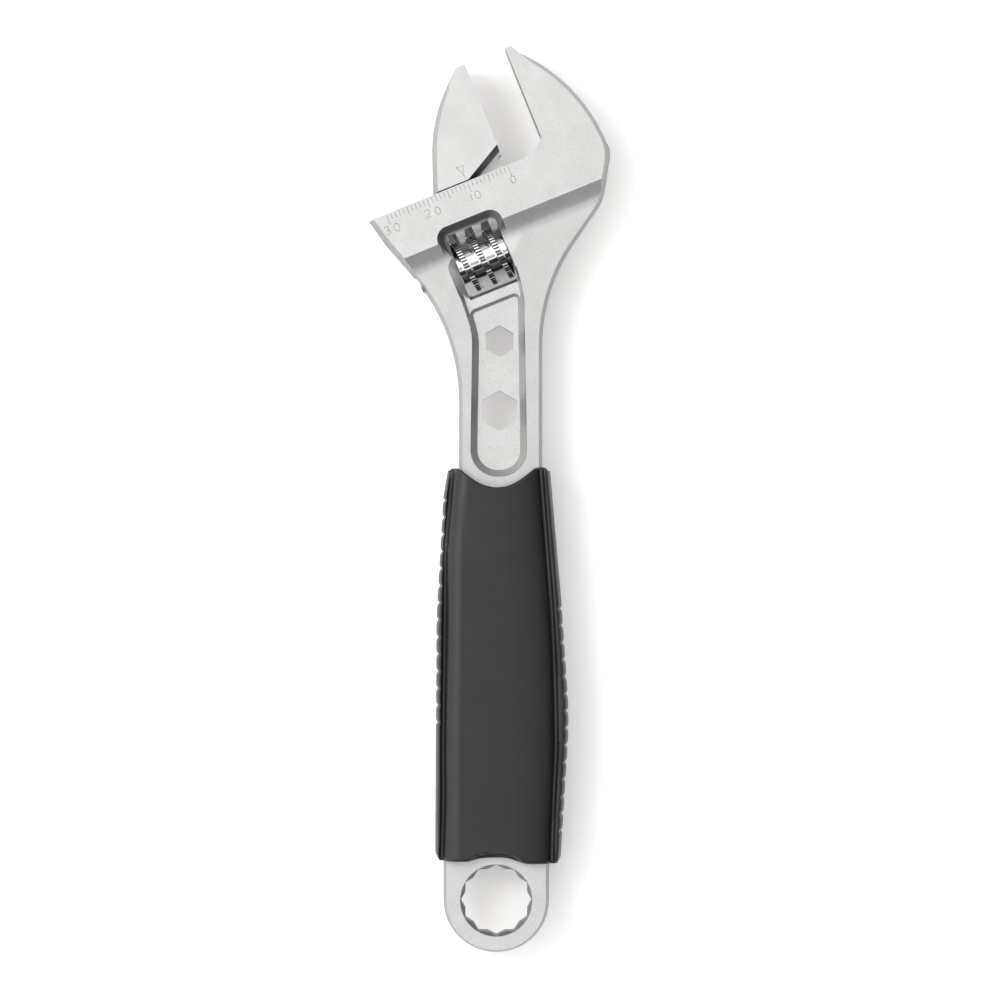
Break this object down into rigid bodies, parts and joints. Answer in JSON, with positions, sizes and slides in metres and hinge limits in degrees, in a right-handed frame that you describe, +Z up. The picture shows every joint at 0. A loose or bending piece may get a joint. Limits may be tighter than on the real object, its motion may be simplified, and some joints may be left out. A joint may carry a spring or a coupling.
{
  "type": "adjustable wrench",
  "caption": "Adjustable spanner with worm-driven sliding jaw, engraved-scale head, ring end and ribbed rubber grip sleeve.",
  "frame": {"origin": "centre of the bounding box at its underside, where the grip rests", "axes": "+Z up out of the wrench's flat side, +Y from the ring end towards the head, +X towards the fixed jaw"},
  "size_m": [0.0554, 0.2081, 0.017],
  "materials": {
    "satin_chrome": "satin plated forging",
    "bright_chrome": "bright plated, knurled",
    "pin_steel": "ground",
    "spring_steel": "drawn wire",
    "grip_rubber": "satin moulded"
  },
  "bodies": {
    "wrench": {"wrench_body": "satin_chrome", "worm_pin": "pin_steel", "worm_spring": "spring_steel", "grip_sleeve": "grip_rubber"},
    "jaw": {"movable_jaw": "satin_chrome"},
    "worm": {"worm": "bright_chrome"}
  },
  "joints": [
    {"name": "jaw_slide", "type": "slide", "parent": "wrench", "child": "jaw", "axis": [-0.9272, -0.3746, 0], "range_m": [-0.00998, 0.02]},
    {"name": "worm_spin", "type": "hinge", "parent": "wrench", "child": "worm", "pos_m": [-0.00153, 0.05534, 0.0085], "axis": [0.9272, 0.3746, 0], "range_deg": [-920, 1820]}
  ],
  "couplings": [
    {"joint": "worm_spin", "follows": "jaw_slide", "rad_per_m": 1570.8}
  ]
}
